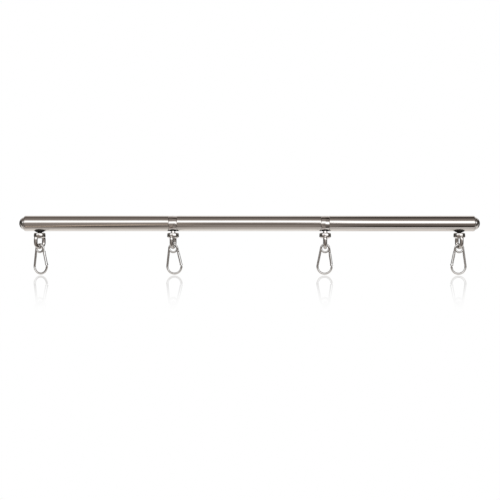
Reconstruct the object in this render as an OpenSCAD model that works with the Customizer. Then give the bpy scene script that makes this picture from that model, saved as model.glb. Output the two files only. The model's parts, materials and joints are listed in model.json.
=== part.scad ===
// Sectional spreader bar: three tube sections on two screwed collars, with four swivel eyes that each
// carry a snap hook. X runs along the bar, Z is up, and the origin is the middle of the bar on the
// tube's axis.

/* [Bar] */
// Outer diameter of the tube
tube_od = 25; // [22:1:32]
// Wall thickness of the tube
tube_wall = 1.5; // [1:0.25:2]
// Length of each of the three tube sections
section_len = 228; // [120:1:500]
// Width of each collar between two sections
collar_w = 13; // [10:1:20]
// Height of each domed end cap
cap_h = 10; // [9:0.5:12]
// Distance from the end of the tube to the swivel near it
end_inset = 22.5; // [20:0.5:60]

/* [Swivel eye] */
// Shank diameter of the swivel bolt
bolt_d = 6; // [5:0.5:6]
// Diameter of the hub that turns on the bolt
hub_d = 19; // [18:0.5:22]
// Height of the hub's straight side
hub_h = 6.7; // [6.5:0.1:9]
// Gap between the tube and the hub
hub_gap = 2.4; // [2:0.1:4]
// Diameter of the rod that the eye is bent from
rod_d = 6; // [5:0.5:6]
// Height from the tube's axis down to the middle of the eye's lowest rod
eye_drop = 38; // [36:0.5:44]

/* [Snap hook] */
// Overall length of the hook
hook_len = 50; // [45:1:60]
// Overall width of the hook
hook_w = 26; // [24:0.5:30]
// Wire diameter of the hook
wire_d = 3.5; // [3.5:0.25:4]
// Diameter of the hole in the hook's own eye
hook_hole_d = 9; // [9:0.5:10]
// Diameter of the gate
gate_d = 4.2; // [4.2:0.1:4.8]
// Diameter of the gate's rivet
rivet_d = 2; // [1.5:0.25:2.25]

/* [Hidden] */
$fn = 64;
slip = 0.06;
touch = 0.1;
edge = 0.5;
tube_r = tube_od / 2;
bore_r = tube_r - tube_wall;
bar_half = 1.5 * section_len + collar_w;
collar_x = (section_len + collar_w) / 2;
station_x = [end_inset - bar_half, -collar_x, collar_x, bar_half - end_inset];

// Direction of each eye's plane, and of each hook's gate side, in degrees about the vertical
eye_turn = [48, 76, 90, -70];
hook_turn = [-22, -3, 0, 186];
// How far each hook leans about the rod it hangs on, in degrees
hook_lean = [-4, -4, 1.5, -2];

insert_len = 20;
stud_d = 14;
stud_len = 18;
stud_edge = 1;
hole_play = 0.2;
plug_len = 9;
plug_wall = 2.5;
plug_floor = 4;
ring_w = 1.1;
ring_step = 0.9;
ring_fall = 0.4;
ring_r = tube_r - 1.7;
dome_base_r = ring_r - 0.3;

bolt_r = bolt_d / 2;
hub_r = hub_d / 2;
hub_top = -(tube_r + hub_gap);
hub_low = hub_top - hub_h;
lip_h = 2;
seat_depth = 5.3;
seat_z = hub_top - seat_depth;
hub_edge = 1.2;
lip_in = 3;
pocket_play = 0.5;
thrust_h = 0.7;
head_r = 4.8;
head_h = 2.6;
head_top = seat_z - touch - thrust_h;
head_edge = 1.2;
socket_d = 4.6;
socket_depth = 1.7;
thread_edge = 0.6;
spacer_top_r = 3.4;
spacer_low_r = 3.9;
spacer_lap = 1;
saddle_r = 8;
saddle_low_r = 4.7;
saddle_low = -(tube_r + 1.5);
saddle_top = -tube_r + 4;
nut_d = 13;
nut_top = -4.5;
end_thread_top = -3;

rod_r = rod_d / 2;
bend_r = 8;
bend_z = -eye_drop + bend_r;
neck_z = bend_z + 4;
eye_play = 0.15;

wire_r = wire_d / 2;
ring_mid = hook_hole_d / 2 + wire_r;
ring_z = -eye_drop + rod_r + eye_play - hook_hole_d / 2;
bow_r = hook_w / 2 - wire_r;
bow_z = ring_z + hook_hole_d / 2 + wire_d - hook_len + hook_w / 2;
lean = asin((bow_r - ring_mid) / (ring_z - bow_z));
leg_len = (ring_z - bow_z) * cos(lean);
nose_turn = -3;

// The straight leg is a hair thinner than the bends and laps into them
leg_r = wire_r - 0.1;
leg_lap = 1.5;
lug_t = 2.2;
lug_w = wire_d - 0.4;
lug_r = wire_r + 0.1;
rivet_r = rivet_d / 2;
rivet_drop = 7;
rivet_head_t = 0.5;
rivet_head_over = 0.5;
rivet_head_gap = 0.2;
gate_r = gate_d / 2;
tip_past = 0.8;
gate_len = leg_len - rivet_drop + tip_past;
flare = 0.4;
flare_h = 3;
fork_play = 0.3;
fork_gap = lug_t + fork_play;
fork_depth = 3.2;
nose_pin_r = 1.1;
nose_pin_len = 2.3;
nose_pin_root = 0.5;
nose_slot_w = 2 * nose_pin_r + 0.5;
nose_slot_h = nose_pin_len + 0.6;

coil_r = 1.2;
coil_wire = 0.6;
coil_pitch = 0.7;
coils = 10;
spring_low = -11.8;
coil_play = 0.15;

// A solid of revolution about the X axis, from [x, radius] points
module turned(points) {
    rotate([0, 90, 0])
        rotate_extrude()
            polygon([for (p = points) [p[1], p[0]]]);
}

module rod_x(r, length) {
    rotate([0, 90, 0])
        cylinder(r = r, h = length, center = true);
}

module at_station(i) {
    translate([station_x[i - 1], 0, 0])
        children();
}

// --- Bar ---

module tube_section(x, hole_x = undef) {
    half = section_len / 2;
    color("gainsboro")
        difference() {
            translate([x, 0, 0])
                turned([
                    [-half, bore_r], [-half, tube_r - edge], [edge - half, tube_r],
                    [half - edge, tube_r], [half, tube_r - edge], [half, bore_r]
                ]);
            if (!is_undef(hole_x))
                translate([hole_x, 0, -tube_od])
                    cylinder(r = bolt_r + hole_play, h = tube_od);
        }
}

// Domed cap, outward along +X from the tube's end, with a plug inside the tube
module end_cap(side) {
    dome_h = cap_h - ring_w - ring_step;
    dome_r = (dome_base_r * dome_base_r + dome_h * dome_h) / (2 * dome_h);
    dome = [for (t = [0 : 0.125 : 1]) let (a = asin(dome_base_r / dome_r) * (1 - t))
        [cap_h - dome_r + dome_r * cos(a), dome_r * sin(a)]];
    color("dimgray")
        mirror([side < 0 ? 1 : 0, 0, 0])
            translate([bar_half, 0, 0])
                difference() {
                    turned(concat(
                        [[-plug_len, 0], [-plug_len, bore_r - edge], [edge - plug_len, bore_r], [0, bore_r],
                         [0, tube_r - edge], [edge, tube_r], [ring_w, tube_r - ring_fall],
                         [ring_w + ring_step, ring_r]],
                        dome
                    ));
                    translate([-plug_len, 0, 0])
                        rod_x(bore_r - plug_wall, 2 * (plug_len - plug_floor / 2));
                }
}

// Insert with a threaded bore, fixed in the end of a section; x is its outer face, dir points into the
// section
module threaded_insert(x, dir) {
    color("darkgray")
        translate([x + dir * insert_len / 2, 0, 0])
            difference() {
                rod_x(bore_r, insert_len);
                rod_x(stud_d / 2, insert_len + 2);
            }
}

// Collar with a stud on each side and a threaded hole below for the swivel bolt
module joint_collar(i) {
    half = collar_w / 2;
    stud_end = half + stud_len;
    color("silver")
        at_station(i)
            difference() {
                turned([
                    [-stud_end, 0], [-stud_end, stud_d / 2 - stud_edge], [stud_edge - stud_end, stud_d / 2],
                    [-half, stud_d / 2],
                    [-half, tube_r - edge], [edge - half, tube_r], [half - edge, tube_r],
                    [half, tube_r - edge],
                    [half, stud_d / 2], [stud_end - stud_edge, stud_d / 2],
                    [stud_end, stud_d / 2 - stud_edge],
                    [stud_end, 0]
                ]);
                translate([0, 0, -tube_od])
                    cylinder(r = bolt_r, h = tube_od);
            }
}

// --- Swivel ---

module saddle_washer(i) {
    color("silver")
        at_station(i)
            difference() {
                union() {
                    translate([0, 0, -tube_r])
                        cylinder(r = saddle_r, h = saddle_top + tube_r);
                    translate([0, 0, saddle_low])
                        cylinder(r1 = saddle_low_r, r2 = saddle_r, h = -tube_r - saddle_low);
                }
                rod_x(tube_r, 4 * saddle_r);
                translate([0, 0, saddle_low - 1])
                    cylinder(r = bolt_r, h = tube_r);
            }
}

// Nut inside the tube, its underside curved to the wall
module clamp_nut(i) {
    color("silver")
        at_station(i)
            difference() {
                intersection() {
                    translate([0, 0, -tube_r])
                        cylinder(d = nut_d, h = nut_top + tube_r, $fn = 6);
                    rod_x(bore_r, 2 * nut_d);
                }
                translate([0, 0, -tube_r])
                    cylinder(r = bolt_r, h = tube_r);
            }
}

module swivel_bolt(i) {
    thread_top = (i == 1 || i == 4) ? end_thread_top : 0;
    color("gainsboro")
        at_station(i)
            difference() {
                rotate_extrude()
                    polygon([
                        [0, head_top - head_h], [head_r - head_edge, head_top - head_h],
                        [head_r, head_top - head_h + head_edge], [head_r, head_top], [bolt_r, head_top],
                        [bolt_r, thread_top - thread_edge], [bolt_r - thread_edge, thread_top],
                        [0, thread_top]
                    ]);
                translate([0, 0, head_top - head_h - 1])
                    cylinder(d = socket_d, h = socket_depth + 1, $fn = 6);
            }
}

// The neck between bar and hub, a little wider below
module spacer(i) {
    top = (i == 1 || i == 4) ? saddle_low : spacer_lap - tube_r;
    color("silver")
        at_station(i)
            difference() {
                translate([0, 0, hub_top + touch])
                    cylinder(r1 = spacer_low_r, r2 = spacer_top_r, h = top - hub_top - touch);
                rod_x(tube_r, 4 * spacer_low_r);
                translate([0, 0, hub_top - 1])
                    cylinder(r = bolt_r, h = tube_r);
            }
}

module thrust_washer(i) {
    color("goldenrod")
        at_station(i)
            translate([0, 0, head_top])
                difference() {
                    cylinder(r = head_r, h = thrust_h);
                    translate([0, 0, -1])
                        cylinder(r = bolt_r, h = thrust_h + 2);
                }
}

// Half of the bent rod: a half ring about Y, opening upward, or downward when up is 180
module half_bend(up) {
    rotate([90, up, 0])
        rotate_extrude(angle = 180, start = 180)
            translate([bend_r, 0])
                circle(r = rod_r);
}

module swivel_eye(i) {
    color("silver")
        at_station(i)
            rotate([0, 0, eye_turn[i - 1]])
                difference() {
                    union() {
                        rotate_extrude()
                            polygon([
                                [0, hub_top], [hub_r - hub_edge, hub_top], [hub_r, hub_top - hub_edge],
                                [hub_r, hub_low + hub_edge], [hub_r - hub_edge, hub_low],
                                [hub_r - lip_in, hub_low - lip_h], [0, hub_low - lip_h]
                            ]);
                        translate([0, 0, bend_z])
                            half_bend(0);
                        translate([0, 0, neck_z])
                            half_bend(180);
                        for (side = [-1, 1])
                            translate([side * bend_r, 0, bend_z])
                                cylinder(r = rod_r, h = neck_z - bend_z);
                    }
                    translate([0, 0, hub_low])
                        cylinder(r = bolt_r + slip, h = 2 * hub_h);
                    translate([0, 0, hub_low - lip_h - 1])
                        cylinder(r = head_r + pocket_play, h = seat_z - hub_low + lip_h + 1);
                }
}

// --- Snap hook: drawn in the XZ plane, gate on the +X side, then turned about the vertical ---

module at_hook(i) {
    eye = eye_turn[i - 1];
    at_station(i)
        translate([0, 0, -eye_drop])
            rotate(a = hook_lean[i - 1], v = [cos(eye), sin(eye), 0])
                translate([0, 0, eye_drop])
                    rotate([0, 0, hook_turn[i - 1]])
                        children();
}

// Frame on the line that joins the hook's eye and bow, side +1 or -1, with Z pointing up along it
module on_leg(side) {
    translate([side * ring_mid * cos(lean), 0, ring_z + ring_mid * sin(lean)])
        rotate([0, -side * lean, 0])
            children();
}

module hook_body(i) {
    color("silver")
        at_hook(i)
            difference() {
                union() {
                    translate([0, 0, ring_z])
                        rotate([90, 0, 0])
                            rotate_extrude()
                                translate([ring_mid, 0])
                                    circle(r = wire_r);
                    on_leg(-1)
                        translate([0, 0, -leg_len - leg_lap])
                            cylinder(r = leg_r, h = leg_len + 2 * leg_lap);
                    translate([0, 0, bow_z])
                        rotate([90, 0, 0])
                            rotate_extrude(angle = 180 + lean + nose_turn, start = 180 - lean)
                                translate([bow_r, 0])
                                    circle(r = wire_r);
                    translate([0, 0, bow_z])
                        rotate([0, -nose_turn, 0])
                            translate([bow_r, 0, -nose_pin_root])
                                cylinder(r = nose_pin_r, h = nose_pin_len + nose_pin_root);
                    on_leg(1)
                        rotate([90, 0, 0])
                            translate([0, 0, -lug_t / 2])
                                linear_extrude(lug_t) {
                                    translate([-lug_w / 2, -rivet_drop])
                                        square([lug_w, rivet_drop]);
                                    translate([0, -rivet_drop])
                                        circle(r = lug_r);
                                }
                }
                on_leg(1)
                    translate([0, 0, -rivet_drop])
                        rotate([90, 0, 0])
                            cylinder(r = rivet_r, h = 3 * wire_d, center = true);
            }
}

// Frame at the rivet, with Z pointing up along the gate
module at_rivet(i) {
    at_hook(i)
        on_leg(1)
            translate([0, 0, -rivet_drop])
                children();
}

module hook_gate(i) {
    color("lightgray")
        at_rivet(i)
            difference() {
                union() {
                    sphere(r = gate_r);
                    translate([0, 0, -gate_len])
                        cylinder(r = gate_r, h = gate_len);
                    translate([0, 0, -gate_len])
                        cylinder(r1 = gate_r + flare, r2 = gate_r, h = flare_h);
                }
                translate([0, 0, gate_len / 2 - fork_depth])
                    cube([4 * gate_r, fork_gap, gate_len], center = true);
                rotate([90, 0, 0])
                    cylinder(r = rivet_r + slip, h = 4 * gate_r, center = true);
                translate([0, 0, spring_low - coil_play])
                    cylinder(r = coil_r + coil_play, h = -spring_low - 1);
                translate([-nose_slot_w / 2, -nose_slot_w / 2, -gate_len - 1])
                    cube([3 * gate_r, nose_slot_w, 1 + nose_slot_h]);
            }
}

module gate_rivet(i) {
    color("gray")
        at_rivet(i)
            rotate([90, 0, 0]) {
                cylinder(r = rivet_r, h = gate_d + 3 * rivet_head_gap, center = true);
                for (side = [-1, 1])
                    translate([0, 0, side * (gate_r + rivet_head_gap + rivet_head_t / 2)])
                        cylinder(r = rivet_r + rivet_head_over, h = rivet_head_t, center = true);
            }
}

// Close-wound spring in the gate's bore, as a corrugated sleeve
module gate_spring(i) {
    inner_r = coil_r - coil_wire;
    outer = [for (n = [0 : coils]) let (z = spring_low + coil_pitch * n)
        each [[coil_r, z], [coil_r - coil_wire / 2, z + coil_pitch / 2]]];
    top = spring_low + coil_pitch * (coils + 0.5);
    color("gray")
        at_rivet(i)
            rotate_extrude()
                polygon(concat([[inner_r, spring_low]], outer, [[inner_r, top]]));
}

mid = section_len / 2;
far = mid + collar_w;

tube_section(-section_len - collar_w, station_x[0]);  // tube_left
tube_section(0);  // tube_middle
tube_section(section_len + collar_w, station_x[3]);  // tube_right
end_cap(-1);  // end_cap_left
end_cap(1);  // end_cap_right
threaded_insert(-far, -1);  // threaded_insert_1
threaded_insert(-mid, 1);  // threaded_insert_2
threaded_insert(mid, -1);  // threaded_insert_3
threaded_insert(far, 1);  // threaded_insert_4
joint_collar(2);  // joint_collar_left
joint_collar(3);  // joint_collar_right
saddle_washer(1);  // saddle_washer_left
saddle_washer(4);  // saddle_washer_right
clamp_nut(1);  // clamp_nut_left
clamp_nut(4);  // clamp_nut_right
for (i = [1 : 4]) {
    swivel_bolt(i);
    spacer(i);
    thrust_washer(i);
    swivel_eye(i);
    hook_body(i);
    hook_gate(i);
    gate_rivet(i);
    gate_spring(i);
}
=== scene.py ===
"""Looks of the sectional spreader bar: polished stainless tube in three sections, two collars, domed
ends, and four swivel eyes that each carry a snap hook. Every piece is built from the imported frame's boxes
and joints, in metres."""

import json
import math

import bmesh
import bpy
from mathutils import Matrix, Vector


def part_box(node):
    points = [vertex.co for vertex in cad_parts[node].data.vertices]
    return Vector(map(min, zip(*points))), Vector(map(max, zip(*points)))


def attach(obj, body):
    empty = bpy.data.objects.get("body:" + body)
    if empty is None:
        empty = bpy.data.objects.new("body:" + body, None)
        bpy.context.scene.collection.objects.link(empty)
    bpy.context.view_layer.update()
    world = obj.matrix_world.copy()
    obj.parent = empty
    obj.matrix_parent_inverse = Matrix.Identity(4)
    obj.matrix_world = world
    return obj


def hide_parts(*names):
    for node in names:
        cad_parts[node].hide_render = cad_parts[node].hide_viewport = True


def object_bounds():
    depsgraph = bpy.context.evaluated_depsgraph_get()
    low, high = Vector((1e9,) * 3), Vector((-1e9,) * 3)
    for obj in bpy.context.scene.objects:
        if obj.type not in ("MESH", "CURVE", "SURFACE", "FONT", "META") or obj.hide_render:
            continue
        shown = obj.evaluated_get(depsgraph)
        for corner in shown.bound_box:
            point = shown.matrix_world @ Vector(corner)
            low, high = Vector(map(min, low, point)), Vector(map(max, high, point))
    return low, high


MM = 0.001
STATIONS = (1, 2, 3, 4)
END_STATIONS = {1: "left", 4: "right"}

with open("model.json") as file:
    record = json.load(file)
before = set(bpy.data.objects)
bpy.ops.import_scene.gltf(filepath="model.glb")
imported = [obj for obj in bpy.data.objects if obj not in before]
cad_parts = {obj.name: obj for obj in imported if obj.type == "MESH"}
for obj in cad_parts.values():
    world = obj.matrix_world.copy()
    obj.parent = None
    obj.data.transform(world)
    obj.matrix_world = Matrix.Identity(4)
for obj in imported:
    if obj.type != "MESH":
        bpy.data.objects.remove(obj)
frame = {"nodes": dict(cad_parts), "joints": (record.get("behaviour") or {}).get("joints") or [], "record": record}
cad_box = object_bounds()
scene = bpy.context.scene
joints = {j["name"]: j for j in frame["joints"]}


# --- Mesh tools ---


def finished(name, bm, sharp=35):
    """A new object from bm, shaded smooth except across edges sharper than this many degrees."""
    bmesh.ops.remove_doubles(bm, verts=bm.verts, dist=1e-7)
    bmesh.ops.dissolve_degenerate(bm, edges=bm.edges, dist=1e-8)
    bmesh.ops.recalc_face_normals(bm, faces=bm.faces)
    mesh = bpy.data.meshes.new(name)
    bm.to_mesh(mesh)
    bm.free()
    shade(mesh, sharp)
    piece = bpy.data.objects.new(name, mesh)
    scene.collection.objects.link(piece)
    return piece


def shade(mesh, sharp=35):
    mesh.polygons.foreach_set("use_smooth", [True] * len(mesh.polygons))
    mesh.set_sharp_from_angle(angle=math.radians(sharp))


def arc(centre, radius, start, turn, steps):
    """Points on a circle in a plane, from start degrees and through turn degrees."""
    angles = [math.radians(start + turn * i / steps) for i in range(steps + 1)]
    return [Vector((centre[0] + radius * math.cos(a), centre[1] + radius * math.sin(a))) for a in angles]


def rounded(corners, steps=6):
    """A closed outline from (x, y, radius) corners, each rounded with an arc."""
    outline = []
    for i, (x, y, radius) in enumerate(corners):
        here = Vector((x, y))
        if radius == 0:
            outline.append(here)
            continue
        back = (Vector(corners[i - 1][:2]) - here).normalized()
        ahead = (Vector(corners[(i + 1) % len(corners)][:2]) - here).normalized()
        half = back.angle(ahead) / 2
        centre = here + (back + ahead).normalized() * radius / math.sin(half)
        first = here + back * radius / math.tan(half) - centre
        last = here + ahead * radius / math.tan(half) - centre
        start = math.degrees(math.atan2(first.y, first.x))
        turn = math.degrees(math.atan2(last.y, last.x)) - start
        turn = (turn + 180) % 360 - 180
        outline += arc(centre, radius, start, turn, steps)
    return outline


def lathe(name, outline, place=Matrix.Identity(4), segments=96):
    """Turns a closed outline of (height, radius) points about Z, then puts it in place."""
    bm = bmesh.new()
    rings = []
    for height, radius in outline:
        ring = []
        for k in range(segments):
            a = 2 * math.pi * k / segments
            ring.append(bm.verts.new(place @ Vector((radius * math.cos(a), radius * math.sin(a), height))))
        rings.append(ring)
    for i, ring in enumerate(rings):
        following = rings[(i + 1) % len(rings)]
        if outline[i][1] == 0 and outline[(i + 1) % len(rings)][1] == 0:
            continue
        for k in range(segments):
            k2 = (k + 1) % segments
            bm.faces.new((ring[k], ring[k2], following[k2], following[k]))
    return finished(name, bm)


def sweep(name, path, widths, place=Matrix.Identity(4), sides=32, closed=False):
    """A bar along a path in the XZ plane. widths holds each point's half width in that plane and half
    thickness across it."""
    bm = bmesh.new()
    rings = []
    count = len(path)
    for i, point in enumerate(path):
        before = path[i - 1] if closed or i else path[i]
        after = path[(i + 1) % count] if closed or i < count - 1 else path[i]
        along = (after - before).normalized()
        side = Vector((along.y, -along.x))
        wide, thick = widths[i]
        ring = []
        for k in range(sides):
            a = 2 * math.pi * k / sides
            flat = point + side * wide * math.cos(a)
            ring.append(bm.verts.new(place @ Vector((flat.x, thick * math.sin(a), flat.y))))
        rings.append(ring)
    for i in range(count if closed else count - 1):
        ring, following = rings[i], rings[(i + 1) % count]
        for k in range(sides):
            k2 = (k + 1) % sides
            bm.faces.new((ring[k], ring[k2], following[k2], following[k]))
    if not closed:
        bm.faces.new(rings[0])
        bm.faces.new(rings[-1])
    return finished(name, bm)


def block(name, low, high, place):
    bm = bmesh.new()
    bmesh.ops.create_cube(bm, size=1)
    size = Vector(high) - Vector(low)
    middle = (Vector(high) + Vector(low)) / 2
    placing = place @ Matrix.Translation(middle) @ Matrix.Diagonal((*size, 1))
    bmesh.ops.transform(bm, matrix=placing, verts=bm.verts)
    return finished(name, bm)


def combined(base, others, operation):
    """base with the others joined to it or cut from it."""
    for other in others:
        step = base.modifiers.new("step", "BOOLEAN")
        step.operation = operation
        step.solver = "EXACT"
        step.object = other
    graph = bpy.context.evaluated_depsgraph_get()
    mesh = bpy.data.meshes.new_from_object(base.evaluated_get(graph))
    base.modifiers.clear()
    base.data = mesh
    shade(mesh)
    for other in others:
        bpy.data.objects.remove(other)
    return base


def placed(piece, body, slot, material, *nodes):
    """Gives a piece its body and material, and hides the CAD nodes it stands for. The slot argument is not used.
    """
    piece.data.materials.clear()
    piece.data.materials.append(material)
    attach(piece, body)
    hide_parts(*nodes)
    return piece


# --- Materials ---

# Painted shade on the hub's top, under the tube: its colour, and the height over which it comes in
TOP_SHADE_COLOUR = (0.05, 0.045, 0.04)
TOP_SHADE_EDGE = 0.2 * MM
PAD_SPREAD = 0.08


def steel(name, colour, roughness, spread, grain, waviness, wear=0.0, tilt=0.0, painted_shade_above=None):
    """Metal whose roughness varies along a stretched grain (scale per axis), with a faint waviness in its
    polish. tilt leans its normals upward, as on a ring whose polish isn't quite parallel with the tube's.
    The last argument, when given, is the height above which its colour is painted dark as painted shade."""
    material = bpy.data.materials.new(name)
    material.use_nodes = True
    nodes, links = material.node_tree.nodes, material.node_tree.links
    shader = nodes["Principled BSDF"]
    shader.inputs["Metallic"].default_value = 1.0
    place = nodes.new("ShaderNodeTexCoord")

    def noise(scale, size, detail):
        stretch = nodes.new("ShaderNodeMapping")
        stretch.inputs["Scale"].default_value = scale
        links.new(place.outputs["Object"], stretch.inputs["Vector"])
        texture = nodes.new("ShaderNodeTexNoise")
        texture.inputs["Scale"].default_value = size
        texture.inputs["Detail"].default_value = detail
        links.new(stretch.outputs["Vector"], texture.inputs["Vector"])
        return texture.outputs["Fac"]

    def ranged(value, low, high):
        spread_out = nodes.new("ShaderNodeMapRange")
        spread_out.inputs["From Min"].default_value = 0.3
        spread_out.inputs["From Max"].default_value = 0.7
        spread_out.inputs["To Min"].default_value = low
        spread_out.inputs["To Max"].default_value = high
        links.new(value, spread_out.inputs["Value"])
        return spread_out.outputs["Result"]

    fine = noise(grain, 900, 4)
    links.new(ranged(fine, roughness - spread, roughness + spread), shader.inputs["Roughness"])

    tint = nodes.new("ShaderNodeMix")
    tint.data_type = "RGBA"
    tint.inputs["A"].default_value = (*[c * (0.94 - wear) for c in colour], 1)
    tint.inputs["B"].default_value = (*colour, 1)
    links.new(noise((1, 1, 1), 60, 3), tint.inputs["Factor"])
    links.new(tint.outputs["Result"], shader.inputs["Base Color"])
    # Painted shade: above the given height the colour turns dark, standing in for the shade under the tube
    if painted_shade_above is not None:
        height = nodes.new("ShaderNodeSeparateXYZ")
        links.new(place.outputs["Object"], height.inputs["Vector"])
        edge = nodes.new("ShaderNodeMapRange")
        edge.inputs["From Min"].default_value = painted_shade_above
        edge.inputs["From Max"].default_value = painted_shade_above + TOP_SHADE_EDGE
        links.new(height.outputs["Z"], edge.inputs["Value"])
        top_shade = nodes.new("ShaderNodeMix")
        top_shade.data_type = "RGBA"
        top_shade.inputs["B"].default_value = (*TOP_SHADE_COLOUR, 1)
        links.new(edge.outputs["Result"], top_shade.inputs["Factor"])
        links.new(tint.outputs["Result"], top_shade.inputs["A"])
        links.new(top_shade.outputs["Result"], shader.inputs["Base Color"])

    ripple = nodes.new("ShaderNodeBump")
    ripple.inputs["Strength"].default_value = 1.0
    ripple.inputs["Distance"].default_value = waviness
    links.new(noise(grain, 120, 2), ripple.inputs["Height"])
    if tilt:
        leaned = nodes.new("ShaderNodeVectorMath")
        leaned.inputs[1].default_value = (0, 0, tilt)
        links.new(ripple.outputs["Normal"], leaned.inputs[0])
        unit = nodes.new("ShaderNodeVectorMath")
        unit.operation = "NORMALIZE"
        links.new(leaned.outputs["Vector"], unit.inputs[0])
        links.new(unit.outputs["Vector"], shader.inputs["Normal"])
    else:
        links.new(ripple.outputs["Normal"], shader.inputs["Normal"])
    return material


def pad(name, colour, roughness):
    """Smooth black rubber whose roughness varies a little."""
    material = bpy.data.materials.new(name)
    material.use_nodes = True
    nodes, links = material.node_tree.nodes, material.node_tree.links
    shader = nodes["Principled BSDF"]
    shader.inputs["Base Color"].default_value = (*colour, 1)
    place = nodes.new("ShaderNodeTexCoord")
    grain = nodes.new("ShaderNodeTexNoise")
    grain.inputs["Scale"].default_value = 700
    links.new(place.outputs["Object"], grain.inputs["Vector"])
    spread = nodes.new("ShaderNodeMapRange")
    spread.inputs["To Min"].default_value = roughness - PAD_SPREAD
    spread.inputs["To Max"].default_value = roughness + PAD_SPREAD
    links.new(grain.outputs["Fac"], spread.inputs["Value"])
    links.new(spread.outputs["Result"], shader.inputs["Roughness"])
    return material


LENGTHWAYS = (0.04, 1.0, 1.0)
EVEN = (1.0, 1.0, 1.0)
looks = {
    "tube_steel": steel("tube_polished", (0.80, 0.775, 0.75), 0.085, 0.025, LENGTHWAYS, 0.00002),
    "collar_steel": steel("collar_polished", (0.80, 0.77, 0.75), 0.13, 0.03, EVEN, 0.00001, tilt=0.11),
    "cap_steel": steel("cap_mirror", (0.76, 0.745, 0.725), 0.06, 0.02, EVEN, 0.00001),
    "swivel_steel": steel("swivel_polished", (0.78, 0.76, 0.74), 0.10, 0.03, EVEN, 0.00002),
    "hook_steel": steel("hook_plated", (0.78, 0.78, 0.775), 0.10, 0.03, EVEN, 0.00002),
    "gate_steel": steel("gate_plated", (0.76, 0.76, 0.755), 0.12, 0.03, EVEN, 0.00002),
    "fastener_steel": steel("fastener_zinc", (0.66, 0.66, 0.65), 0.22, 0.05, EVEN, 0.00002, 0.05),
    "insert_steel": steel("insert_turned", (0.55, 0.54, 0.52), 0.3, 0.06, (6, 1, 1), 0.00003, 0.05),
    "spring_steel": steel("spring_wire", (0.42, 0.42, 0.43), 0.3, 0.05, EVEN, 0.00002, 0.05),
    "saddle_black": pad("saddle_pad", (0.022, 0.019, 0.016), 0.38),
    "bronze_washer": steel("washer_bronze", (0.70, 0.50, 0.26), 0.28, 0.06, EVEN, 0.00002, 0.08),
}
# The hub's top 0.3 mm is painted dark as painted shade, where it sits under the tube
hub_look = steel("hub_polished", (0.78, 0.76, 0.74), 0.10, 0.03, EVEN, 0.00002,
                 painted_shade_above=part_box("swivel_eye_1")[1].z - 0.3 * MM)
slot_of = {s["node"]: s["material_slot"] for s in frame["record"]["subparts"]}
for node, thing in frame["nodes"].items():
    thing.data.materials.clear()
    thing.data.materials.append(looks[slot_of[node]])


# --- The bar: tube sections, collars and end caps, all turned about the X axis ---

ALONG_X = Matrix.Rotation(math.pi / 2, 4, "Y")
tube_low, tube_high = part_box("tube_middle")
TUBE_R = (tube_high.z - tube_low.z) / 2
BORE_R = (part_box("threaded_insert_2")[1].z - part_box("threaded_insert_2")[0].z) / 2
EDGE = 0.5 * MM
STUD_R = 7 * MM
ROUND = 160


def tube_section(node):
    low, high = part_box(node)
    outline = rounded([
        (low.x, BORE_R, 0), (low.x, TUBE_R, EDGE), (low.x + 2 * EDGE, TUBE_R, 0),
        (high.x - 2 * EDGE, TUBE_R, 0), (high.x, TUBE_R, EDGE), (high.x, BORE_R, 0),
    ])
    shell = lathe(node + "_shell", outline, ALONG_X, ROUND)
    return placed(shell, "bar", "tube_steel", looks["tube_steel"], node)


def joint_collar(node):
    """The collar ring with its two studs. It is crowned a little, so it catches the light apart from the
    tube."""
    low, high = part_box(node)
    middle = (low.x + high.x) / 2
    half = (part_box("tube_right")[0].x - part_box("tube_middle")[1].x) / 2
    crest = 0.12 * MM
    bevel = 0.8 * MM
    crown_r = 20 * MM
    outline = rounded([
        (low.x, 0, 0), (low.x, STUD_R, bevel), (middle - half, STUD_R, 0),
        (middle - half, TUBE_R - crest, bevel), (middle, TUBE_R, crown_r),
        (middle + half, TUBE_R - crest, bevel),
        (middle + half, STUD_R, 0), (high.x, STUD_R, bevel), (high.x, 0, 0),
    ], 8)
    ring = lathe(node + "_ring", outline, ALONG_X, ROUND)
    return placed(ring, "bar", "collar_steel", looks["collar_steel"], node)


def end_cap(node, tube, side):
    """A domed cap: a thin rim against the tube, a step in, then one arc to the tip, and a plug inside the
    tube."""
    low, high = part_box(node)
    low_x, high_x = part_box(tube)[0].x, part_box(tube)[1].x
    mouth = max(side * low_x, side * high_x)
    tip = max(side * low.x, side * high.x)
    plug = min(side * low.x, side * high.x)
    rim_w, rim_r = 1.1 * MM, TUBE_R - 2 * MM
    foot = mouth + rim_w + 0.9 * MM
    rise = tip - foot
    ball = (rim_r * rim_r + rise * rise) / (2 * rise)
    lean = math.degrees(math.asin(rim_r / ball))
    dome = arc((tip - ball, 0), ball, lean, -lean, 24)
    plug_r = BORE_R - 0.1 * MM
    outline = rounded([
        (plug, 0, 0), (plug, plug_r, EDGE), (mouth, plug_r, 0),
        (mouth, TUBE_R, 0.3 * MM), (mouth + rim_w, TUBE_R - 0.4 * MM, 0.5 * MM),
        (mouth + rim_w + 0.5 * MM, rim_r + 0.5 * MM, 0),
    ])
    place = ALONG_X if side > 0 else Matrix.Rotation(math.pi, 4, "Z") @ ALONG_X
    cap = lathe(node + "_dome", outline + dome, place, 128)
    return placed(cap, "bar", "cap_steel", looks["cap_steel"], node)


for section in ("left", "middle", "right"):
    tube_section("tube_" + section)
for side_name, side in (("left", -1), ("right", 1)):
    joint_collar("joint_collar_" + side_name)
    end_cap("end_cap_" + side_name, "tube_" + side_name, side)


# --- The swivels ---

HUB_H = 6.7 * MM
LIP_H = 2 * MM
BOLT_HOLE_R = 3.06 * MM
POCKET_PLAY = 0.5 * MM


def station(i):
    return Vector((joints[f"swivel_{i}_turn"]["pos_m"][0], 0, 0))


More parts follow.
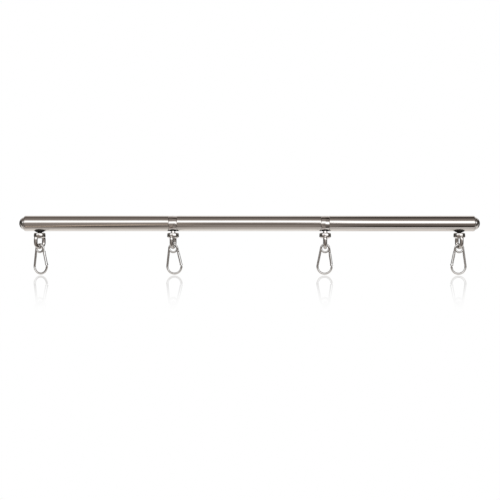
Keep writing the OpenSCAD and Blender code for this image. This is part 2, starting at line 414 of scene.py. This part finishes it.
def turned_to(i, direction):
    """The frame at station i whose X axis points along a level direction."""
    yaw = math.atan2(direction[1], direction[0])
    return Matrix.Translation(station(i)) @ Matrix.Rotation(yaw, 4, "Z")


def saddle_washer(i):
    """The seat between tube and swivel at an end station, hollowed to the tube."""
    node = "saddle_washer_" + END_STATIONS[i]
    low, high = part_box(node)
    seat_r = (high.x - low.x) / 2
    foot_r = 4.7 * MM
    outline = rounded([
        (low.z, 0, 0), (low.z, foot_r, 0.3 * MM), (-TUBE_R, seat_r, 0.4 * MM), (high.z, seat_r, 0),
        (high.z, 0, 0),
    ])
    washer = lathe(node + "_seat", outline, Matrix.Translation(station(i)), 72)
    reach = 2 * seat_r
    hollow = lathe("hollow", [(-reach, 0), (-reach, TUBE_R), (reach, TUBE_R), (reach, 0)],
                   Matrix.Translation(station(i)) @ ALONG_X, ROUND)
    washer = combined(washer, [hollow], "DIFFERENCE")
    return placed(washer, "bar", "saddle_black", looks["saddle_black"], node)


def swivel_eye(i):
    """The hub that turns on the bolt, one solid with its bent rod eye."""
    node = f"swivel_eye_{i}"
    rod_r, bend_r = 3 * MM, 8 * MM
    hub_r, lip_r = 9.5 * MM, 6.5 * MM
    top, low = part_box(node)[1].z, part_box(node)[0].z
    hub_low = top - HUB_H
    lip_low = hub_low - LIP_H
    place = turned_to(i, joints[f"hook_{i}_swing"]["axis"])
    crown_r, widest = 18 * MM, hub_low + 1.8 * MM

    def crowned(z):
        return hub_r - crown_r + math.sqrt(crown_r ** 2 - (z - widest) ** 2)

    face = [hub_low + part * (top - hub_low) for part in (0.75, 0.65, 0.5, 0.4, 0.27)]
    hub = lathe(node + "_hub", rounded(
        [(top, 0, 0), (top, crowned(top), 1.2 * MM)] + [(z, crowned(z), 0) for z in face]
        + [(hub_low, crowned(hub_low), 1.0 * MM), (lip_low, lip_r, 0.6 * MM), (lip_low, 0, 0)]
    ), place)
    bend_z = low + rod_r + bend_r
    neck_z = bend_z + 4 * MM
    path = arc((0, bend_z), bend_r, 180, 180, 28) + arc((0, neck_z), bend_r, 0, 180, 28)
    rod = sweep("rod", path, [(rod_r, rod_r)] * len(path), place, closed=True)
    eye = combined(hub, [rod], "UNION")
    bolt_low, bolt_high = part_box(f"swivel_bolt_{i}")
    pocket_r = (bolt_high.x - bolt_low.x) / 2 + POCKET_PLAY
    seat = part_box(f"thrust_washer_{i}")[1].z + 0.1 * MM
    below, above = lip_low - 1 * MM, top + 1 * MM
    pocket = lathe("pocket", rounded([
        (below, 0, 0), (below, pocket_r, 0), (seat, pocket_r, 0.3 * MM),
        (seat, BOLT_HOLE_R, 0), (above, BOLT_HOLE_R, 0), (above, 0, 0),
    ]), place)
    eye = combined(eye, [pocket], "DIFFERENCE")
    return placed(eye, f"swivel_{i}", "swivel_steel", hub_look, node)


for i in STATIONS:
    swivel_eye(i)
for i in END_STATIONS:
    saddle_washer(i)


# --- The snap hooks, drawn in the XZ plane with the gate on the +X side ---

WIRE_R = 1.75 * MM
GATE_R = 2.1 * MM
RING_MID = 6.25 * MM
BOW_R = 11.25 * MM
NOSE_TURN = -3
HOOK_LEN = 50 * MM
HOOK_TURN = {1: -22, 2: -3, 3: 0, 4: 186}
HOOK_LEAN = {1: -4, 2: -4, 3: 1.5, 4: -2}
ROD_Z = joints["hook_3_swing"]["pos_m"][2]
ROD_TO_WIRE = 3.15 * MM
RING_Z = ROD_Z + ROD_TO_WIRE + WIRE_R - RING_MID
BOW_Z = RING_Z + RING_MID + WIRE_R - HOOK_LEN + WIRE_R + BOW_R
LEAN = math.degrees(math.asin((BOW_R - RING_MID) / (RING_Z - BOW_Z)))
RIVET_DROP = 7 * MM
LEG_LEN = (RING_Z - BOW_Z) * math.cos(math.radians(LEAN))
FORK_HALF, FORK_DEPTH = 1.25 * MM, 3.2 * MM
PIN_R, PIN_LEN = 1.1 * MM, 2.3 * MM
SLOT_HALF, SLOT_LEN = 1.35 * MM, 2.9 * MM
TIP_PAST = 0.8 * MM
FLARE, FLARE_H = 0.4 * MM, 3 * MM
CLEAR = 4 * MM

# The lug that the gate turns on, as the wire is forged flat towards its end: the distance past the rivet,
# then the half width and half thickness there, in mm
LUG = (
    (-6, 1.74, 1.70), (-5.2, 1.75, 1.58), (-4.4, 1.77, 1.4), (-3.6, 1.8, 1.2),
    (-2.9, 1.85, 1.1), (0, 1.85, 1.1), (0.9, 1.6, 1.1), (1.4, 1.2, 1.05), (1.7, 0.7, 0.8), (1.82, 0.3, 0.4),
)


def hook_plane(i):
    """The hook's own frame: X towards the gate, Z up, leaned about the rod it hangs on."""
    pivot = Matrix.Translation(joints[f"hook_{i}_swing"]["pos_m"])
    lean = Matrix.Rotation(math.radians(HOOK_LEAN[i]), 4, Vector(joints[f"hook_{i}_swing"]["axis"]))
    turn = Matrix.Rotation(math.radians(HOOK_TURN[i]), 4, "Z")
    return pivot @ lean @ Matrix.Translation((0, 0, -ROD_Z)) @ turn


def leg_point(side, drop):
    """A point on the line that joins the eye's and the bow's outer side, this far below its upper end."""
    lean = math.radians(LEAN)
    start = Vector((RING_MID * math.cos(lean), RING_Z + RING_MID * math.sin(lean)))
    point = start + drop * Vector((math.sin(lean), -math.cos(lean)))
    return Vector((side * point.x, point.y))


def hook_body(i):
    """One bent wire from the nose round the bow, up the back and round the eye, ending in the flat lug of
    the gate. A second arc closes the eye, and a pin stands on the nose."""
    node = f"hook_body_{i}"
    plane = hook_plane(i)
    bow = arc((0, BOW_Z), BOW_R, NOSE_TURN, -(180 + LEAN + NOSE_TURN), 56)
    leg = [leg_point(-1, LEG_LEN * part / 5) for part in (4, 3, 2, 1)]
    ring = arc((0, RING_Z), RING_MID, 180 - LEAN, -(180 - 2 * LEAN), 40)
    lug = [leg_point(1, RIVET_DROP + past * MM) for past, wide, thick in LUG]
    forged = [(wide * MM, thick * MM) for past, wide, thick in LUG]
    path = bow + leg + ring + lug
    round_wire = [(WIRE_R, WIRE_R)] * (len(path) - len(lug))
    wire = sweep(node + "_wire", path, round_wire + forged, plane)
    closing = arc((0, RING_Z), RING_MID, 8, -196, 48)
    closing_r = 0.97 * WIRE_R
    bar = sweep("closing", closing, [(closing_r, closing_r)] * len(closing), plane)
    tangent = Matrix.Translation((0, 0, BOW_Z)) @ Matrix.Rotation(math.radians(-NOSE_TURN), 4, "Y")
    pin_place = plane @ tangent @ Matrix.Translation((BOW_R, 0, 0))
    root = -1 * MM
    pin = lathe("nose_pin", rounded([
        (root, 0, 0), (root, PIN_R, 0), (PIN_LEN, PIN_R, 0.4 * MM), (PIN_LEN, 0, 0),
    ]), pin_place, 32)
    wire = combined(wire, [bar, pin], "UNION")
    return placed(wire, f"hook_{i}", "hook_steel", looks["hook_steel"], node)


def at_rivet(i):
    """The gate's frame: origin at the rivet, Z up along the gate, Y along the rivet."""
    rivet = leg_point(1, RIVET_DROP)
    place = Matrix.Translation((rivet.x, 0, rivet.y)) @ Matrix.Rotation(-math.radians(LEAN), 4, "Y")
    return hook_plane(i) @ place


def hook_gate(i):
    """The gate: a turned bar forked round the lug, flared a little at the tip and slotted for the nose's
    pin."""
    node = f"hook_gate_{i}"
    place = at_rivet(i)
    length = LEG_LEN - RIVET_DROP + TIP_PAST
    outline = arc((0, 0), GATE_R, 0, 90, 10)
    outline += rounded([
        (FLARE_H - length, GATE_R, 2 * MM), (-length, GATE_R + FLARE, 0.4 * MM), (-length, 0, 0),
        (GATE_R - 0.01 * MM, 0, 0),
    ])[:-1]
    gate = lathe(node + "_bar", outline, place, 64)
    fork = block("fork", (-CLEAR, -FORK_HALF, -FORK_DEPTH), (CLEAR, FORK_HALF, CLEAR), place)
    mouth = block("mouth", (-SLOT_HALF, -SLOT_HALF, -length - 1 * MM), (CLEAR, SLOT_HALF, SLOT_LEN - length),
                  place)
    gate = combined(gate, [fork, mouth], "DIFFERENCE")
    return placed(gate, f"gate_{i}", "gate_steel", looks["gate_steel"], node)


def gate_rivet(i):
    node = f"gate_rivet_{i}"
    half, shank, head = GATE_R + 0.7 * MM, 1.0 * MM, 1.5 * MM
    under = GATE_R + 0.1 * MM
    dome = rounded([
        (-half, 0, 0), (-half, head, 0.45 * MM), (-under, head, 0.1 * MM), (-under, shank, 0),
        (under, shank, 0), (under, head, 0.1 * MM), (half, head, 0.45 * MM), (half, 0, 0),
    ])
    rivet = lathe(node + "_pin", dome, at_rivet(i) @ Matrix.Rotation(math.pi / 2, 4, "X"), 40)
    return placed(rivet, f"hook_{i}", "fastener_steel", looks["fastener_steel"], node)


for i in STATIONS:
    hook_body(i)
    hook_gate(i)
    gate_rivet(i)


# --- Studio: a direction-banded world for the reflections, a white floor with a faint gloss ---

# Light from each band of directions: degrees up from the front, then towards the left, ahead and the right
BANDS = (
    (-180, 1.00, 1.00, 1.00), (-140, 0.88, 0.92, 0.72), (-115, 0.86, 0.98, 0.72), (-100, 0.72, 0.86, 0.78),
    (-86, 0.50, 0.55, 0.66), (-68, 0.46, 0.60, 0.90), (-60, 0.30, 0.42, 0.50), (-54, 0.07, 0.32, 0.030),
    (-44, 0.07, 0.30, 0.030), (-34, 0.20, 0.33, 0.12), (-20, 0.30, 0.22, 0.16), (-8, 0.22, 0.15, 0.17),
    (4, 0.36, 0.24, 0.70), (12, 0.62, 0.45, 1.80), (18, 1.25, 1.15, 1.80), (32, 1.50, 1.60, 1.30),
    (40, 1.10, 1.20, 0.55), (49, 0.36, 0.37, 0.24), (60, 0.27, 0.29, 0.24), (76, 0.27, 0.29, 0.21),
    (83, 0.13, 0.05, 0.02),
    (100, 0.13, 0.05, 0.02), (112, 0.24, 0.38, 0.24), (130, 0.60, 0.75, 0.75), (150, 1.00, 1.00, 1.00),
    (180, 1.00, 1.00, 1.00),
)
WARM = (1.0, 0.82, 0.71)
CARD = (0.56, 0.46, 0.38)
FLAG = (0.055, 0.050, 0.045)
# Where one column gives way to the next, and where a card or flag fades, each from none to all of it
LEFT_TO_AHEAD = (-0.13, -0.03)
AHEAD_TO_RIGHT = (0.025, 0.085)
CARD_ACROSS = (0.028, 0.008)
CARD_SIDE = (-0.05, -0.10)
FLAG_EDGE = (-0.08, 0.08)
FLAG_LEVEL = (0.62, 0.34)
CARD_MIDDLE, CARD_SLOPE = 0.55, 0.96
FLAG_FRONT, FLAG_BACK = 0.84, 0.50


def world_light():
    world = bpy.data.worlds.new("studio")
    scene.world = world
    world.use_nodes = True
    nodes, links = world.node_tree.nodes, world.node_tree.links
    nodes.clear()

    def math_node(kind, a, b=None, c=None):
        n = nodes.new("ShaderNodeMath")
        n.operation = kind
        for socket, value in zip(n.inputs, (a, b, c)):
            if value is None:
                continue
            if isinstance(value, (int, float)):
                socket.default_value = value
            else:
                links.new(value, socket)
        return n.outputs[0]

    def smooth(value, low, high):
        n = nodes.new("ShaderNodeMapRange")
        n.interpolation_type = "SMOOTHSTEP"
        n.inputs["From Min"].default_value = low
        n.inputs["From Max"].default_value = high
        links.new(value, n.inputs["Value"])
        return n.outputs["Result"]

    def mixed(factor, a, b):
        n = nodes.new("ShaderNodeMix")
        n.data_type = "RGBA"
        links.new(factor, n.inputs["Factor"])
        for socket, value in (("A", a), ("B", b)):
            if isinstance(value, tuple):
                n.inputs[socket].default_value = (*value, 1)
            else:
                links.new(value, n.inputs[socket])
        return n.outputs["Result"]

    def ramp(angle, column):
        n = nodes.new("ShaderNodeValToRGB")
        n.color_ramp.interpolation = "LINEAR"
        stops = n.color_ramp.elements
        for k, band in enumerate(BANDS):
            place = (band[0] + 180) / 360
            stop = stops[0] if k == 0 else stops[-1] if k == len(BANDS) - 1 else stops.new(place)
            stop.position = place
            level = band[column]
            tint = [1 - (1 - w) * max(0.0, 1 - level) for w in WARM]
            stop.color = (*[level * t for t in tint], 1)
        links.new(angle, n.inputs["Fac"])
        return n.outputs["Color"]

    direction = nodes.new("ShaderNodeTexCoord")
    split = nodes.new("ShaderNodeSeparateXYZ")
    links.new(direction.outputs["Generated"], split.inputs["Vector"])
    x, y, z = split.outputs
    angle = math_node("ARCTAN2", z, math_node("MULTIPLY", y, -1.0))
    turn = math_node("MULTIPLY_ADD", angle, 0.5 / math.pi, 0.5)
    left_ahead = mixed(smooth(x, *LEFT_TO_AHEAD), ramp(turn, 1), ramp(turn, 2))
    bands = mixed(smooth(x, *AHEAD_TO_RIGHT), left_ahead, ramp(turn, 3))

    # A sloping beige card to the left
    rise = math_node("MULTIPLY_ADD", x, CARD_SLOPE, CARD_MIDDLE)
    apart = math_node("ABSOLUTE", math_node("SUBTRACT", turn, rise))
    card = math_node("MULTIPLY", smooth(apart, *CARD_ACROSS), smooth(x, *CARD_SIDE))
    lit = mixed(card, bands, CARD)

    # Dark flags on both sides about eye level, reaching further in behind the bar than in front of it
    reach = math_node("MULTIPLY_ADD", smooth(y, -0.2, 0.2), FLAG_BACK - FLAG_FRONT, FLAG_FRONT)
    beyond = math_node("SUBTRACT", math_node("ABSOLUTE", x), reach)
    level = smooth(math_node("ABSOLUTE", z), *FLAG_LEVEL)
    flag = math_node("MULTIPLY", smooth(beyond, *FLAG_EDGE), level)
    flagged = mixed(flag, lit, FLAG)

    seen = nodes.new("ShaderNodeLightPath")
    colour = mixed(seen.outputs["Is Camera Ray"], flagged, (1.0, 1.0, 1.0))
    background = nodes.new("ShaderNodeBackground")
    links.new(colour, background.inputs["Color"])
    output = nodes.new("ShaderNodeOutputWorld")
    links.new(background.outputs["Background"], output.inputs["Surface"])


# The floor's gloss, and the light from the strip under the bar, front then back, with the distances from the
# bar over which each changes
GAP_BELOW = 0.6 * MM
GLOSS = 0.45
GLOSS_FADE = (-0.75, 0.05)
STRIP_LIGHT = (0.42, 1.0)
STRIP_DEPTH = (-0.030, 0.030)
STRIP_FADE = (0.024, 0.040)


def floor(level):
    """A white floor whose faint gloss dies away towards the front. The metal reflects only a lit strip of
    it, brighter towards the back."""
    bm = bmesh.new()
    bmesh.ops.create_grid(bm, x_segments=1, y_segments=1, size=12)
    plane = finished("floor", bm)
    plane.location.z = level
    material = bpy.data.materials.new("white_floor")
    material.use_nodes = True
    nodes, links = material.node_tree.nodes, material.node_tree.links
    nodes.clear()
    place = nodes.new("ShaderNodeTexCoord")
    split = nodes.new("ShaderNodeSeparateXYZ")
    links.new(place.outputs["Object"], split.inputs["Vector"])

    def ranged(value, source, target, kind="LINEAR"):
        n = nodes.new("ShaderNodeMapRange")
        n.interpolation_type = kind
        for name, number in zip(("From Min", "From Max", "To Min", "To Max"), source + target):
            n.inputs[name].default_value = number
        links.new(value, n.inputs["Value"])
        return n.outputs["Result"]

    white = nodes.new("ShaderNodeEmission")
    white.inputs["Color"].default_value = (1, 1, 1, 1)
    gloss = nodes.new("ShaderNodeBsdfGlossy")
    gloss.inputs["Roughness"].default_value = 0.02
    gloss.inputs["Color"].default_value = (1, 1, 1, 1)
    surface = nodes.new("ShaderNodeMixShader")
    links.new(ranged(split.outputs["Y"], GLOSS_FADE, (0.0, GLOSS), "SMOOTHSTEP"), surface.inputs["Fac"])
    links.new(white.outputs["Emission"], surface.inputs[1])
    links.new(gloss.outputs["BSDF"], surface.inputs[2])
    offset = nodes.new("ShaderNodeMath")
    offset.operation = "ABSOLUTE"
    links.new(split.outputs["Y"], offset.inputs[0])
    lit = nodes.new("ShaderNodeEmission")
    lit.inputs["Color"].default_value = (1.0, 0.95, 0.90, 1)
    links.new(ranged(split.outputs["Y"], STRIP_DEPTH, STRIP_LIGHT), lit.inputs["Strength"])
    clear = nodes.new("ShaderNodeBsdfTransparent")
    strip = nodes.new("ShaderNodeMixShader")
    links.new(ranged(offset.outputs["Value"], STRIP_FADE, (0.0, 1.0), "SMOOTHSTEP"), strip.inputs["Fac"])
    links.new(lit.outputs["Emission"], strip.inputs[1])
    links.new(clear.outputs["BSDF"], strip.inputs[2])
    seen = nodes.new("ShaderNodeLightPath")
    whole = nodes.new("ShaderNodeMixShader")
    links.new(seen.outputs["Is Camera Ray"], whole.inputs["Fac"])
    links.new(strip.outputs["Shader"], whole.inputs[1])
    links.new(surface.outputs["Shader"], whole.inputs[2])
    output = nodes.new("ShaderNodeOutputMaterial")
    links.new(whole.outputs["Shader"], output.inputs["Surface"])
    plane.data.materials.append(material)
    return plane


def camera(distance, yaw, rise, aim, width):
    """A camera this far off, turned yaw degrees to the bar's right, whose view is this wide at the bar."""
    data = bpy.data.cameras.new("camera")
    data.sensor_width = 36
    data.lens = 36 * distance / width
    eye = bpy.data.objects.new("camera", data)
    scene.collection.objects.link(eye)
    a = math.radians(yaw)
    eye.location = (distance * math.sin(a), -distance * math.cos(a), rise)
    look = Vector(aim) - eye.location
    eye.rotation_euler = look.to_track_quat("-Z", "Y").to_euler()
    data.clip_start, data.clip_end = 0.01, 50
    scene.camera = eye
    return eye


world_light()
floor(cad_box[0].z - GAP_BELOW)
camera(distance=2.0, yaw=0.8, rise=0.02, aim=(0.0015, 0, -0.0421), width=0.7925)
scene.view_settings.view_transform = "Standard"
scene.view_settings.look = "None"
